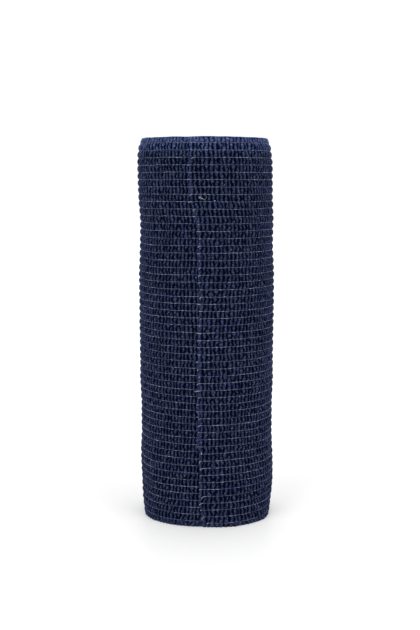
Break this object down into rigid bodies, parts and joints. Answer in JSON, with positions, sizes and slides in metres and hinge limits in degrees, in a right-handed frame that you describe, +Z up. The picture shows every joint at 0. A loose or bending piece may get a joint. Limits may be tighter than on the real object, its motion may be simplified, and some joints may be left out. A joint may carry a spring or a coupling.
{
  "type": "cohesive bandage roll",
  "caption": "Wound roll of navy self-sticking crepe bandage standing on its end, with pale elastic threads round it and a cut end that lies stuck down on its side.",
  "frame": {"origin": "middle of the base, on the surface that the roll stands on", "axes": "+Z up along the roll's axis, -Y towards the side with the cloth's cut end, +X to the right of it"},
  "size_m": [0.0546, 0.0544, 0.15],
  "materials": {
    "crepe_cloth": "dull navy nonwoven crepe, crimped across, with pale elastic threads"
  },
  "bodies": {
    "root": {"bandage_roll": "crepe_cloth"}
  },
  "joints": []
}
